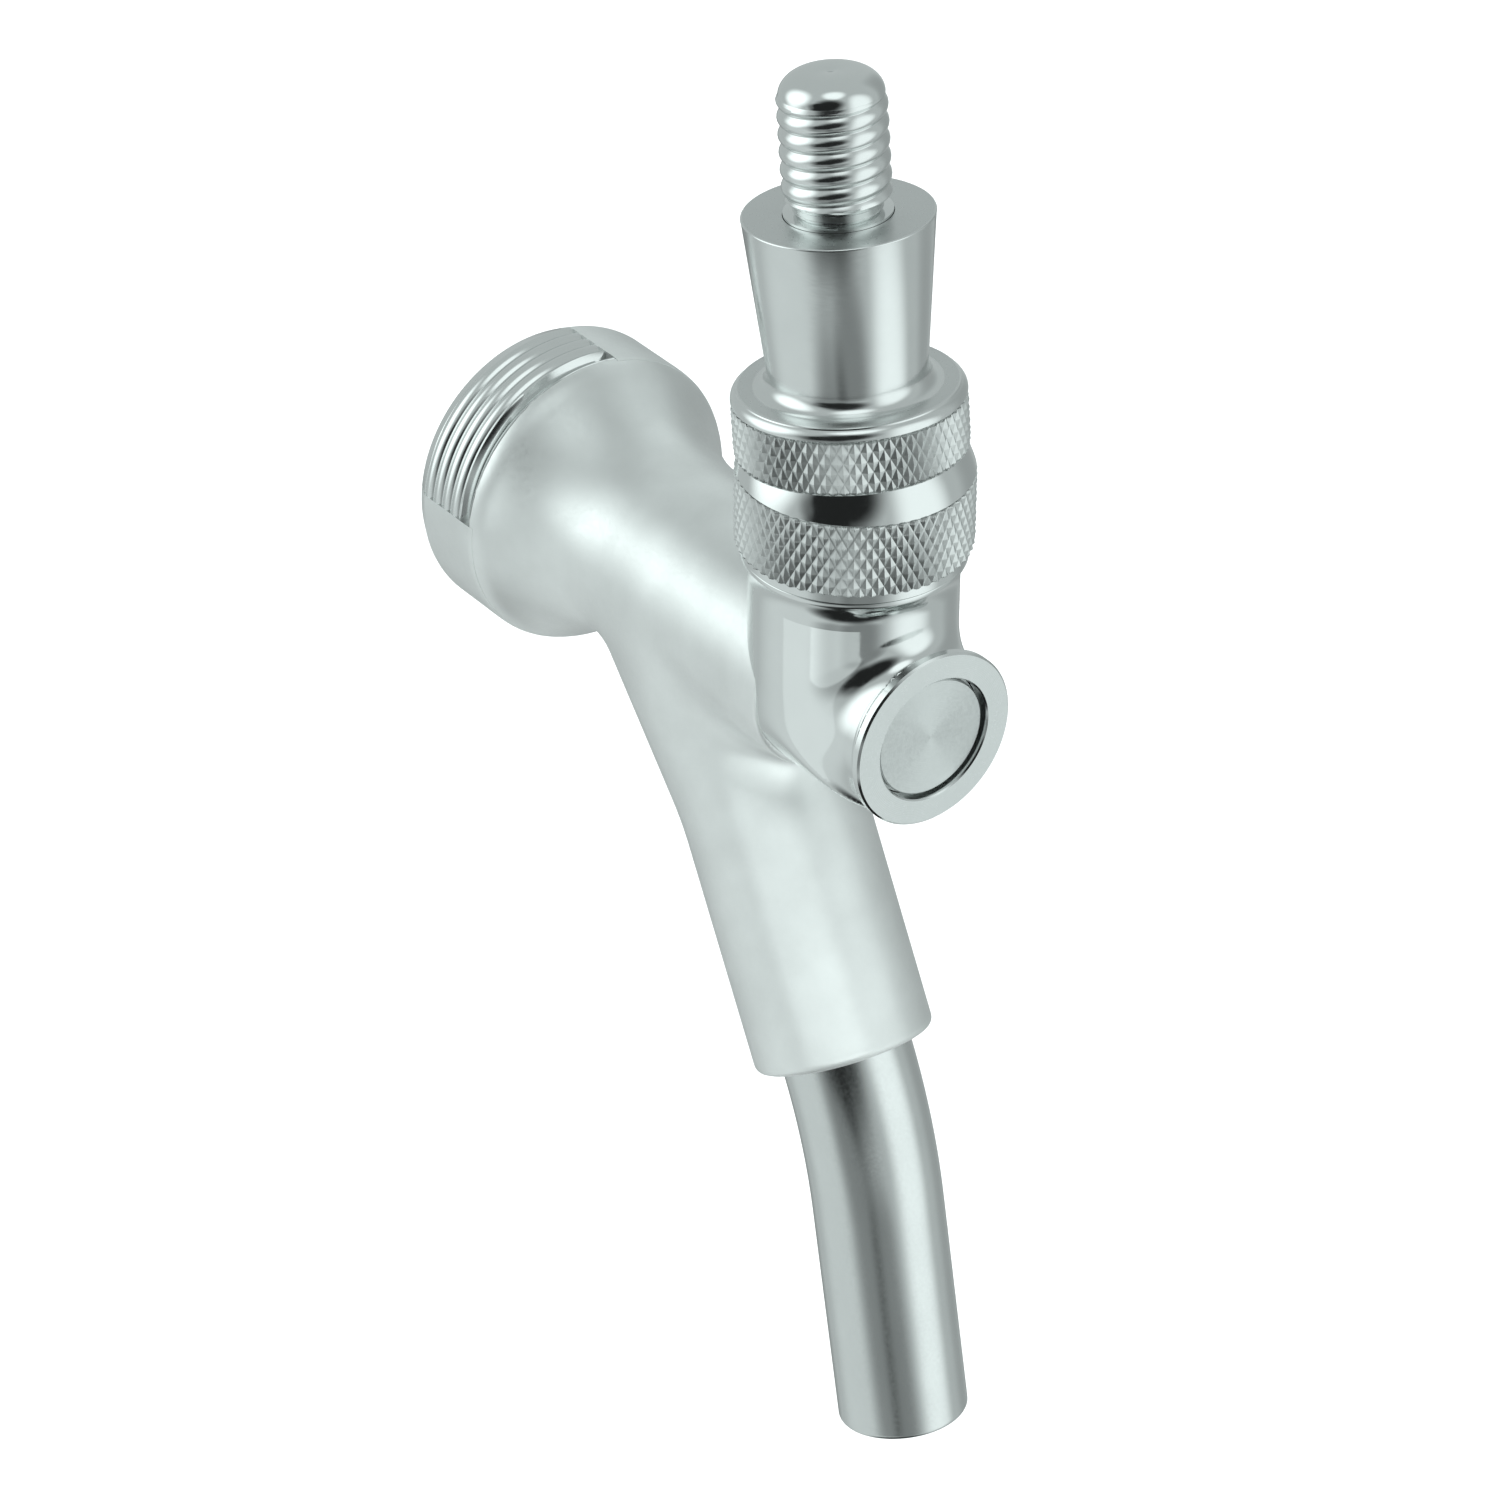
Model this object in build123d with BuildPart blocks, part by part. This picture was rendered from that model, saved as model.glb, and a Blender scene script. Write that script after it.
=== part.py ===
"""Draft beer faucet: cast body, curved spout, ball lever under a knurled bonnet, and a sliding valve shaft.

The origin is the centre of the rear coupling face. The shank axis is Y, with +Y towards the wall,
and the valve axis is vertical, REACH in front of the coupling face. Sizes are in millimetres.
"""

import os
from math import asin, cos, radians, sin, sqrt, tan

from build123d import *

# ---- driving dimensions -------------------------------------------------------------------------
REACH = 48.7                # coupling face to the valve axis
FIT = 0.05                  # radial clearance of a running or hand fit

# coupling head, 1-1/8"-18
HEAD_RADIUS = 14.2875
HEAD_PITCH = 25.4 / 18
HEAD_FRONT = 38.9           # front of the head's straight drum, from the valve axis
RELIEF_FRONT = 39.9         # thread relief groove
RELIEF_REAR = 40.9
RELIEF_RADIUS = 13.4
HEAD_CHAMFER_RADIUS = 13.42
HEAD_CHAMFER_START = 46.9
HEAD_CORE_RADIUS = 12.4
THREAD_DEPTH_RATIO = 0.6
LAND_RADIUS = 14.26         # two opposite smooth lands interrupt the thread and its relief groove
LAND_ENDS = (80.0, 260.0)   # where each ends, turning from +X towards +Z
LAND_SWEEP = 87.0

# barrel and diagonal outlet
BARREL_RADIUS = 9.4
COVE_RADIUS = 20.0
COVE_START = 25.8
OUTLET_RADIUS = 8.54
OUTLET_TOP_ANGLE = 48.45    # below the horizontal
OUTLET_LOW_ANGLE = 61.5
OUTLET_ORIGIN = 28.16       # where the outlet's upper axis leaves the shank axis
OUTLET_BEND = (12.08, -18.15)
OUTLET_BEND_RADIUS = 24.0
OUTLET_END_Z = -40.2
OUTLET_EDGE = 0.6
GUSSET_HALF_WIDTH = 5.5

# valve housing, neck and front boss
HOUSING_RADIUS = 9.35
HOUSING_UNDERSIDE = 9.64    # radius of the rounded underside
UNDERSIDE_CENTRE_Z = 1.3
LIP_RADIUS = 10.0
LIP_BOTTOM = 13.65
LIP_FLARE = 2.2             # height of the concave flare below the lip
NECK_BASE = 14.1
NECK_RADIUS = 8.95
NECK_TOP = 20.5
BOSS_RADIUS = 7.6
FLANGE_RADIUS = 8.4
FLANGE_FRONT = 11.9
FLANGE_THICK = 0.95
FLANGE_GROOVE = 0.55
FLANGE_GROOVE_RADIUS = 7.2

# passages inside the body
GASKET_BORE = 11.0
GASKET_DEPTH = 2.5
INLET_BORE = 7.6
SEAT_FACE = 30.0            # bottom of the inlet bore
CHAMBER_BORE = 5.6
CHAMBER_FRONT = 19.0
SHAFT_BORE = 4.5
LEVER_CHAMBER = 7.0
LEVER_CHAMBER_TOP = 12.6
SEAT_COUNTERBORE = 7.4
PLUG_BORE = 5.9
PLUG_SHOULDER = 6.6
FLOW_BORE = 4.2

# ball lever
PIVOT_Z = 19.0
LEVER_LEAN = 6.4            # closed lever leans towards the wall
BALL_RADIUS = 6.35
LEVER_NECK_RADIUS = 3.6
STUD_RADIUS = 4.7625        # 3/8"-16
STUD_PITCH = 25.4 / 16
STUD_TOP = 39.6
NOSE_HEIGHT = 2.1           # the stud's rounded nose
NOSE_DEPTH = 2.8
FINGER_RADIUS = 2.2
FINGER_NECK_RADIUS = 1.5
FINGER_TIP_RADIUS = 2.4

# lever collar and bonnet
DOME_RADIUS = 11.0          # bonnet dome, a sphere about the pivot
CUP_RADIUS = 11.2           # hollow under the lever collar
COLLAR_RADIUS = 10.3
COLLAR_BOTTOM = 4.84        # heights along the lever, from the pivot
COLLAR_KNURL_TOP = 9.85
COLLAR_SHOULDER = 11.0
CONE_FOOT_RADIUS = 6.95
CONE_FOOT = 12.6
CONE_RIM_RADIUS = 8.39
CONE_RIM = 26.75
BONNET_RADIUS = 10.61
BONNET_BOTTOM = 14.24
BONNET_FOOT_RADIUS = 10.07
BONNET_KNURL_BOTTOM = 15.1
BALL_CLEAR_RADIUS = 5.4      # mouth of the bonnet, at its narrowest
BONNET_KNURL_TOP = 22.1
KNURL_DEPTH = 0.28
KNURL_COUNT = 60

# valve shaft
SHAFT_RADIUS = 4.45
SHAFT_FRONT = -6.4
SHAFT_STEM_START = 13.8
STEM_RADIUS = 2.2
SHAFT_FLAT_Z = 2.0
SEAT_INSERT_LENGTH = 2.6
SEAL_THICK = 1.5
CUP_THICK = 0.8
NUT_THICK = 2.2
NUT_ACROSS_FLATS = 6.0

# spout
SPOUT_RADIUS = 6.16
SPOUT_BORE = 4.75
SPOUT_END_ANGLE = 78.2
SPOUT_BEND_RADIUS = 50.0
SPOUT_INSERT = 14.0
SPOUT_STRAIGHT = 22.4
SPOUT_BEND_GAP = 0.9

# O-ring section radii
SHAFT_RING = 0.47
SPOUT_RING = 0.42
PLUG_RING = 0.5
LEVER_RING = 0.8

# ---- planes and helpers -------------------------------------------------------------------------
AXIS_Y = -REACH                                      # the valve axis, in the part's own frame
SIDE = Plane.YZ                                      # sketches in (y, z)
VALVE_SIDE = Plane(origin=(0, AXIS_Y, 0), x_dir=(0, 1, 0), z_dir=(1, 0, 0))
VALVE_PLANE = Plane(origin=(0, AXIS_Y, 0), x_dir=(1, 0, 0), z_dir=(0, 0, 1))
LEAN = radians(LEVER_LEAN)
LEVER_AXIS = (0, sin(LEAN), cos(LEAN))
LEVER_PLANE = Plane(origin=(0, AXIS_Y, PIVOT_Z), x_dir=(1, 0, 0), z_dir=LEVER_AXIS)
LEVER_SIDE = Plane(origin=(0, AXIS_Y, PIVOT_Z), x_dir=(0, cos(LEAN), -sin(LEAN)), z_dir=(1, 0, 0))
SHANK_AXIS = Axis((0, 0, 0), (0, 1, 0))
VALVE_AXIS = Axis((0, AXIS_Y, 0), (0, 0, 1))
LEVER_LINE = Axis((0, AXIS_Y, PIVOT_Z), LEVER_AXIS)


def row_y(distance):
    """The part's Y of a point that lies this far behind the valve axis."""
    return distance - REACH


def across(distance):
    """A plane square to the shank axis, facing the wall, this far behind the valve axis."""
    return Plane(origin=(0, row_y(distance), 0), x_dir=(1, 0, 0), z_dir=(0, 1, 0))


def outlet_point(z):
    """A point on the outlet's lower axis, as (y, z)."""
    run = (OUTLET_BEND[1] - z) / tan(radians(OUTLET_LOW_ANGLE))
    return (row_y(OUTLET_BEND[0] - run), z)


def down(angle):
    """Unit vector that points forward and down by this angle below the horizontal."""
    return Vector(0, -cos(radians(angle)), -sin(radians(angle)))


OUTLET_END = Vector(0, *outlet_point(OUTLET_END_Z))
OUTLET_DIR = down(OUTLET_LOW_ANGLE)
OUTLET_FACE = Plane(origin=OUTLET_END, x_dir=(1, 0, 0), z_dir=OUTLET_DIR)
OUTLET_CORNER = Vector(0, row_y(OUTLET_BEND[0]), OUTLET_BEND[1])
OUTLET_TANGENT = OUTLET_BEND_RADIUS * tan(radians(OUTLET_LOW_ANGLE - OUTLET_TOP_ANGLE) / 2)
OUTLET_TOP_DIR = down(OUTLET_TOP_ANGLE)
OUTLET_TOP_END = OUTLET_CORNER - OUTLET_TOP_DIR * OUTLET_TANGENT
OUTLET_TOP_RUN = (OUTLET_TOP_END - Vector(0, row_y(OUTLET_ORIGIN), 0)).length
OUTLET_LOW_RUN = (OUTLET_END - OUTLET_CORNER).length - OUTLET_TANGENT
OUTLET_BEND_TOP = Plane(origin=OUTLET_TOP_END, x_dir=(1, 0, 0), z_dir=OUTLET_TOP_DIR)
OUTLET_BEND_CENTRE = OUTLET_TOP_END + Vector(0, -OUTLET_TOP_DIR.Z, OUTLET_TOP_DIR.Y) * OUTLET_BEND_RADIUS
OUTLET_BEND_AXIS = Axis(OUTLET_BEND_CENTRE, (1, 0, 0))


def ring(plane, centre_radius, section):
    """An O-ring lying in a plane."""
    with BuildPart() as made:
        with BuildSketch(Plane(origin=plane.origin, x_dir=plane.x_dir, z_dir=plane.z_dir.cross(plane.x_dir))):
            with Locations((centre_radius, 0)):
                Circle(section)
        revolve(axis=Axis(plane.origin, plane.z_dir))
    return made


def washer(plane, outer, inner, thickness):
    """A flat ring standing on a plane."""
    with BuildPart() as made:
        with BuildSketch(plane):
            Circle(outer)
            Circle(inner, mode=Mode.SUBTRACT)
        extrude(amount=thickness)
    return made


def thread_profile(pitch):
    """The groove between two thread crests, with the crest line at x = 0."""
    depth = pitch * THREAD_DEPTH_RATIO
    half_mouth = pitch * 0.46
    with BuildSketch() as made:
        with BuildLine():
            Polyline((0.05, -half_mouth), (-depth, -0.08), (-depth, 0.08), (0.05, half_mouth), close=True)
        make_face()
    return made


# ---- coupling thread, fused into the body ---------------------------------------------------------
thread_length = REACH - RELIEF_REAR
with BuildPart() as head_thread:
    with BuildSketch(Plane.XZ):
        with BuildLine():
            Polyline(
                (HEAD_CORE_RADIUS - 0.3, 0),
                (HEAD_RADIUS, 0),
                (HEAD_RADIUS, HEAD_CHAMFER_START - RELIEF_REAR),
                (HEAD_CHAMFER_RADIUS, thread_length),
                (HEAD_CORE_RADIUS - 0.3, thread_length),
                close=True,
            )
        make_face()
    revolve(axis=Axis.Z)
    with BuildLine() as head_helix:
        Helix(pitch=HEAD_PITCH, height=thread_length + 3.0, radius=HEAD_RADIUS, center=(0, 0, -1.5))
    with BuildSketch(Plane(origin=head_helix.line @ 0, x_dir=(1, 0, 0), z_dir=head_helix.line % 0)):
        add(thread_profile(HEAD_PITCH).sketch)
    sweep(path=head_helix.line, is_frenet=True, mode=Mode.SUBTRACT)

# ---- lower housing, an upright drum with a rounded underside, fused into the body ----------------
with BuildPart() as housing_block:
    with BuildSketch(VALVE_PLANE.offset(-HOUSING_UNDERSIDE)):
        Circle(HOUSING_RADIUS)
    extrude(amount=2 * HOUSING_UNDERSIDE)
    with BuildSketch(across(-HOUSING_UNDERSIDE)):
        with Locations((0, -UNDERSIDE_CENTRE_Z)):
            Circle(HOUSING_UNDERSIDE)
        with Locations((0, -UNDERSIDE_CENTRE_Z - HOUSING_UNDERSIDE / 2)):
            Rectangle(2 * HOUSING_UNDERSIDE, HOUSING_UNDERSIDE)
    extrude(amount=2 * HOUSING_UNDERSIDE, mode=Mode.INTERSECT)

# ---- body ---------------------------------------------------------------------------------------
with BuildPart() as body:
    # head, cove and barrel, turned about the shank axis
    cove_run = sqrt(COVE_RADIUS**2 - (COVE_RADIUS + BARREL_RADIUS - (HEAD_RADIUS - 0.4)) ** 2)
    cove_mid = COVE_RADIUS * (1 - cos(asin(cove_run / COVE_RADIUS) / 2))
    cove_mid_run = COVE_RADIUS * sin(asin(cove_run / COVE_RADIUS) / 2)
    with BuildSketch(SIDE):
        with BuildLine():
            Polyline(
                (row_y(COVE_START), BARREL_RADIUS),
                (row_y(0), BARREL_RADIUS),
                (row_y(0), 0),
                (0, 0),
                (0, HEAD_CORE_RADIUS),
                (row_y(RELIEF_REAR + 0.5), HEAD_CORE_RADIUS),
                (row_y(RELIEF_REAR + 0.5), RELIEF_RADIUS),
                (row_y(RELIEF_FRONT), RELIEF_RADIUS),
                (row_y(RELIEF_FRONT), HEAD_RADIUS),
                (row_y(HEAD_FRONT), HEAD_RADIUS),
                (row_y(COVE_START + cove_run), HEAD_RADIUS - 0.4),
            )
            ThreePointArc(
                (row_y(COVE_START + cove_run), HEAD_RADIUS - 0.4),
                (row_y(COVE_START + cove_mid_run), BARREL_RADIUS + cove_mid),
                (row_y(COVE_START), BARREL_RADIUS),
            )
        make_face()
    revolve(axis=SHANK_AXIS)
    # diagonal outlet: upper run, bend and lower run
    with BuildSketch(OUTLET_BEND_TOP):
        Circle(OUTLET_RADIUS)
    extrude(amount=-OUTLET_TOP_RUN)
    with BuildSketch(OUTLET_BEND_TOP):
        Circle(OUTLET_RADIUS)
    revolve(axis=OUTLET_BEND_AXIS, revolution_arc=OUTLET_LOW_ANGLE - OUTLET_TOP_ANGLE)
    with BuildSketch(OUTLET_FACE):
        Circle(OUTLET_RADIUS)
    extrude(amount=-OUTLET_LOW_RUN)
    chamfer(body.faces().sort_by(Axis.Z)[0].edges(), OUTLET_EDGE)
    # gusset between the barrel and the outlet
    with BuildSketch(Plane.YZ):
        with BuildLine():
            Polyline(
                (row_y(14), -5),
                (row_y(4.0), -5),
                (row_y(4.0), -8.2),
                (row_y(6.4), -12.2),
                (row_y(14), -12.2),
                close=True,
            )
        make_face()
    extrude(amount=GUSSET_HALF_WIDTH, both=True)
    # valve housing with its lip and threaded neck
    with BuildSketch(VALVE_SIDE):
        with BuildLine():
            Polyline(
                (0, 0),
                (HOUSING_RADIUS, 0),
                (HOUSING_RADIUS, LIP_BOTTOM - LIP_FLARE),
            )
            ThreePointArc(
                (HOUSING_RADIUS, LIP_BOTTOM - LIP_FLARE),
                (HOUSING_RADIUS + 0.26 * (LIP_RADIUS - HOUSING_RADIUS), LIP_BOTTOM - 0.48 * LIP_FLARE),
                (LIP_RADIUS, LIP_BOTTOM),
            )
            Polyline(
                (LIP_RADIUS, LIP_BOTTOM),
                (LIP_RADIUS, NECK_BASE - 0.15),
                (LIP_RADIUS - 0.15, NECK_BASE),
                (NECK_RADIUS, NECK_BASE),
                (NECK_RADIUS, NECK_TOP),
                (0, NECK_TOP),
                (0, 0),
            )
        make_face()
    revolve(axis=VALVE_AXIS)
    add(housing_block.part)
    # front boss and its flange
    with BuildSketch(across(-FLANGE_FRONT)):
        Circle(FLANGE_RADIUS)
    extrude(amount=FLANGE_THICK)
    with BuildSketch(across(-FLANGE_FRONT + FLANGE_THICK)):
        Circle(FLANGE_GROOVE_RADIUS)
    extrude(amount=FLANGE_GROOVE)
    with BuildSketch(across(-FLANGE_FRONT + FLANGE_THICK + FLANGE_GROOVE)):
        Circle(BOSS_RADIUS)
    extrude(amount=FLANGE_FRONT - FLANGE_THICK - FLANGE_GROOVE)
    # threaded rear of the head
    with Locations(across(RELIEF_REAR)):
        add(head_thread.part)
    # smooth lands across the thread
    for turn in LAND_ENDS:
        way = radians(turn)
        with BuildSketch(Plane(origin=(0, 0, 0), x_dir=(0, 1, 0), z_dir=(sin(way), 0, -cos(way)))):
            Polygon(
                (row_y(HEAD_FRONT), HEAD_CORE_RADIUS),
                (row_y(HEAD_FRONT), LAND_RADIUS),
                (row_y(HEAD_CHAMFER_START), LAND_RADIUS),
                (0, HEAD_CHAMFER_RADIUS),
                (0, HEAD_CORE_RADIUS),
                align=None,
            )
        revolve(axis=SHANK_AXIS, revolution_arc=LAND_SWEEP)
    # inlet, flow chamber and shaft bore along the shank axis
    with BuildSketch(across(REACH)):
        Circle(GASKET_BORE)
    extrude(amount=-GASKET_DEPTH, mode=Mode.SUBTRACT)
    with BuildSketch(across(REACH)):
        Circle(INLET_BORE)
    extrude(amount=-(REACH - SEAT_FACE), mode=Mode.SUBTRACT)
    with BuildSketch(across(CHAMBER_FRONT)):
        Circle(CHAMBER_BORE)
    extrude(amount=SEAT_FACE - CHAMBER_FRONT, mode=Mode.SUBTRACT)
    with BuildSketch(across(-PLUG_SHOULDER)):
        Circle(SHAFT_BORE)
    extrude(amount=PLUG_SHOULDER + CHAMBER_FRONT, mode=Mode.SUBTRACT)
    with BuildSketch(across(-FLANGE_FRONT)):
        Circle(PLUG_BORE)
    extrude(amount=FLANGE_FRONT - PLUG_SHOULDER, mode=Mode.SUBTRACT)
    # lever chamber and the counterbore for the ball's seat
    with BuildSketch(VALVE_PLANE):
        Circle(LEVER_CHAMBER)
    extrude(amount=LEVER_CHAMBER_TOP, mode=Mode.SUBTRACT)
    with BuildSketch(VALVE_PLANE.offset(LEVER_CHAMBER_TOP)):
        Circle(SEAT_COUNTERBORE)
    extrude(amount=NECK_TOP - LEVER_CHAMBER_TOP, mode=Mode.SUBTRACT)
    # flow passage down the outlet, and the socket that takes the spout
    with BuildSketch(OUTLET_BEND_TOP):
        Circle(FLOW_BORE)
    extrude(amount=4.0 - OUTLET_TOP_RUN, mode=Mode.SUBTRACT)
    with BuildSketch(OUTLET_BEND_TOP):
        Circle(FLOW_BORE)
    revolve(axis=OUTLET_BEND_AXIS, revolution_arc=OUTLET_LOW_ANGLE - OUTLET_TOP_ANGLE, mode=Mode.SUBTRACT)
    with BuildSketch(OUTLET_FACE):
        Circle(FLOW_BORE)
    extrude(amount=-OUTLET_LOW_RUN, mode=Mode.SUBTRACT)
    with BuildSketch(OUTLET_FACE):
        Circle(SPOUT_RADIUS + FIT)
    extrude(amount=-SPOUT_INSERT - 0.3, mode=Mode.SUBTRACT)
    for depth in (4.5, 9.0):
        with BuildSketch(OUTLET_FACE.offset(-depth - 0.5)):
            Circle(SPOUT_RADIUS + 2 * SPOUT_RING + 0.12)
        extrude(amount=1.0, mode=Mode.SUBTRACT)
body.part.label = "body"

# ---- coupling side ------------------------------------------------------------------------------
coupling_washer = washer(across(REACH - GASKET_DEPTH), GASKET_BORE - 0.1, INLET_BORE + 0.1, 1.8)
coupling_washer.part.label = "coupling_washer"

with BuildPart() as seat_insert:
    with BuildSketch(across(SEAT_FACE)):
        Circle(INLET_BORE - FIT)
        Circle(CHAMBER_BORE - 0.4, mode=Mode.SUBTRACT)
    extrude(amount=SEAT_INSERT_LENGTH)
    chamfer(seat_insert.faces().sort_by(Axis.Y)[-1].outer_wire().edges(), 0.7)
seat_insert.part.label = "seat_insert"

# ---- spout --------------------------------------------------------------------------------------
spout_start = OUTLET_END - OUTLET_DIR * SPOUT_INSERT
bend_start = OUTLET_END + OUTLET_DIR * SPOUT_BEND_GAP
bend_tangent = SPOUT_BEND_RADIUS * tan(radians(SPOUT_END_ANGLE - OUTLET_LOW_ANGLE) / 2)
bend_corner = bend_start + OUTLET_DIR * bend_tangent
SPOUT_DIR = down(SPOUT_END_ANGLE)
SPOUT_END = bend_corner + SPOUT_DIR * (bend_tangent + SPOUT_STRAIGHT)
with BuildPart() as spout_tube:
    with BuildLine() as spout_path:
        FilletPolyline(spout_start, bend_corner, SPOUT_END, radius=SPOUT_BEND_RADIUS)
    with BuildSketch(Plane(origin=spout_start, x_dir=(1, 0, 0), z_dir=OUTLET_DIR)):
        Circle(SPOUT_RADIUS)
        Circle(SPOUT_BORE, mode=Mode.SUBTRACT)
    sweep(path=spout_path.line)
    outlet_rim = spout_tube.faces().sort_by(Axis.Z)[0].edges()
    fillet(outlet_rim, 0.45)
spout_tube.part.label = "spout_tube"

spout_rings = {}
for name, depth in (("spout_o_ring_lower", 4.5), ("spout_o_ring_upper", 9.0)):
    spout_rings[name] = ring(OUTLET_FACE.offset(-depth), SPOUT_RADIUS + SPOUT_RING + 0.03, SPOUT_RING)
    spout_rings[name].part.label = name

# ---- ball lever ---------------------------------------------------------------------------------
tip_neck = sqrt(FINGER_TIP_RADIUS**2 - FINGER_NECK_RADIUS**2)
finger_top = sqrt(BALL_RADIUS**2 - FINGER_RADIUS**2)
ball_top = sqrt(BALL_RADIUS**2 - LEVER_NECK_RADIUS**2)
with BuildPart() as lever:
    with BuildSketch(LEVER_SIDE):
        with BuildLine():
            ThreePointArc(
                (0, -PIVOT_Z - FINGER_TIP_RADIUS),
                (FINGER_TIP_RADIUS, -PIVOT_Z),
                (FINGER_NECK_RADIUS, -PIVOT_Z + tip_neck),
            )
            Polyline(
                (FINGER_NECK_RADIUS, -PIVOT_Z + tip_neck),
                (FINGER_NECK_RADIUS, -15.5),
                (FINGER_RADIUS, -12.0),
                (FINGER_RADIUS, -finger_top),
            )
            ThreePointArc(
                (FINGER_RADIUS, -finger_top),
                (BALL_RADIUS, 0),
                (LEVER_NECK_RADIUS, ball_top),
            )
            Polyline(
                (LEVER_NECK_RADIUS, ball_top),
                (LEVER_NECK_RADIUS, 9.6),
                (STUD_RADIUS, 10.8),
                (STUD_RADIUS, CONE_RIM + 0.3),
                (STUD_RADIUS - 0.85, CONE_RIM + 0.6),
                (STUD_RADIUS - 0.85, CONE_RIM + 1.2),
                (STUD_RADIUS, CONE_RIM + 1.7),
                (STUD_RADIUS, STUD_TOP - NOSE_HEIGHT),
            )
            ThreePointArc(
                (STUD_RADIUS, STUD_TOP - NOSE_HEIGHT),
                (STUD_RADIUS - 0.29 * NOSE_DEPTH, STUD_TOP - 0.31 * NOSE_HEIGHT),
                (STUD_RADIUS - NOSE_DEPTH, STUD_TOP),
            )
            Polyline(
                (STUD_RADIUS - NOSE_DEPTH, STUD_TOP),
                (0, STUD_TOP),
                (0, -PIVOT_Z - FINGER_TIP_RADIUS),
            )
        make_face()
    revolve(axis=LEVER_LINE)
    with BuildLine(LEVER_PLANE) as stud_helix:
        Helix(
            pitch=STUD_PITCH,
            height=STUD_TOP - CONE_RIM + 0.6,
            radius=STUD_RADIUS,
            center=(0, 0, CONE_RIM + 1.0),
        )
    with BuildSketch(Plane(origin=stud_helix.line @ 0, x_dir=(1, 0, 0), z_dir=stud_helix.line % 0)):
        add(thread_profile(STUD_PITCH).sketch)
    sweep(path=stud_helix.line, is_frenet=True, mode=Mode.SUBTRACT)
lever.part.label = "lever"

# ---- lever collar -------------------------------------------------------------------------------
cup_edge = sqrt(CUP_RADIUS**2 - COLLAR_BOTTOM**2)
collar_bore = STUD_RADIUS + FIT
cup_roof = sqrt(CUP_RADIUS**2 - collar_bore**2)
cup_mid = CUP_RADIUS / sqrt(2)
with BuildPart() as lever_collar:
    with BuildSketch(LEVER_SIDE):
        with BuildLine():
            ThreePointArc((collar_bore, cup_roof), (cup_mid, cup_mid), (cup_edge, COLLAR_BOTTOM))
            Polyline(
                (cup_edge, COLLAR_BOTTOM),
                (COLLAR_RADIUS - 0.05, COLLAR_BOTTOM),
                (COLLAR_RADIUS, COLLAR_BOTTOM + 0.2),
                (COLLAR_RADIUS, COLLAR_KNURL_TOP + 0.35),
                (COLLAR_RADIUS - 0.35, COLLAR_SHOULDER),
                (COLLAR_RADIUS - 1.1, COLLAR_SHOULDER),
                (CONE_FOOT_RADIUS + 1.5, COLLAR_SHOULDER + 0.05),
            )
            ThreePointArc(
                (CONE_FOOT_RADIUS + 1.5, COLLAR_SHOULDER + 0.05),
                (CONE_FOOT_RADIUS + 0.45, COLLAR_SHOULDER + 0.5),
                (CONE_FOOT_RADIUS, CONE_FOOT),
            )
            Polyline(
                (CONE_FOOT_RADIUS, CONE_FOOT),
                (CONE_RIM_RADIUS, CONE_RIM - 0.25),
                (CONE_RIM_RADIUS - 0.25, CONE_RIM),
                (collar_bore, CONE_RIM),
                (collar_bore, cup_roof),
            )
        make_face()
    revolve(axis=LEVER_LINE)
lever_collar.part.label = "lever_collar"

# ---- bonnet, washers and seats round the ball ---------------------------------------------------
mouth_radius = 7.0
mouth_z = PIVOT_Z + sqrt(DOME_RADIUS**2 - mouth_radius**2)
dome_edge = sqrt(DOME_RADIUS**2 - (BONNET_KNURL_TOP + 0.1 - PIVOT_Z) ** 2)
dome_mid_angle = radians(33)
with BuildPart() as bonnet:
    with BuildSketch(VALVE_SIDE):
        with BuildLine():
            Polyline(
                (mouth_radius, mouth_z),
                (BALL_CLEAR_RADIUS, 22.65),
                (SEAT_COUNTERBORE + FIT, 22.65),
                (SEAT_COUNTERBORE + FIT, 21.7),
                (NECK_RADIUS + FIT, 21.7),
                (NECK_RADIUS + FIT, BONNET_BOTTOM),
                (BONNET_FOOT_RADIUS, BONNET_BOTTOM),
                (BONNET_RADIUS, BONNET_KNURL_BOTTOM),
                (BONNET_RADIUS, BONNET_KNURL_TOP),
                (dome_edge, BONNET_KNURL_TOP + 0.1),
            )
            ThreePointArc(
                (dome_edge, BONNET_KNURL_TOP + 0.1),
                (DOME_RADIUS * cos(dome_mid_angle), PIVOT_Z + DOME_RADIUS * sin(dome_mid_angle)),
                (mouth_radius, mouth_z),
            )
        make_face()
    revolve(axis=VALVE_AXIS)
bonnet.part.label = "bonnet"

bonnet_washer = washer(VALVE_PLANE.offset(NECK_TOP + 0.05), NECK_RADIUS, SEAT_COUNTERBORE + FIT, 1.1)
bonnet_washer.part.label = "bonnet_washer"

ball_socket = BALL_RADIUS + FIT
with BuildPart() as friction_ring:
    with BuildSketch(VALVE_PLANE.offset(17.0)):
        Circle(SEAT_COUNTERBORE - FIT)
        Circle(4.0, mode=Mode.SUBTRACT)
    extrude(amount=5.6)
    with Locations((0, AXIS_Y, PIVOT_Z)):
        Sphere(ball_socket, mode=Mode.SUBTRACT)
    with BuildSketch(VALVE_PLANE.offset(20.0)):
        Circle(sqrt(ball_socket**2 - 3.6**2))
    extrude(amount=3.0, mode=Mode.SUBTRACT)
friction_ring.part.label = "friction_ring"

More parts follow.
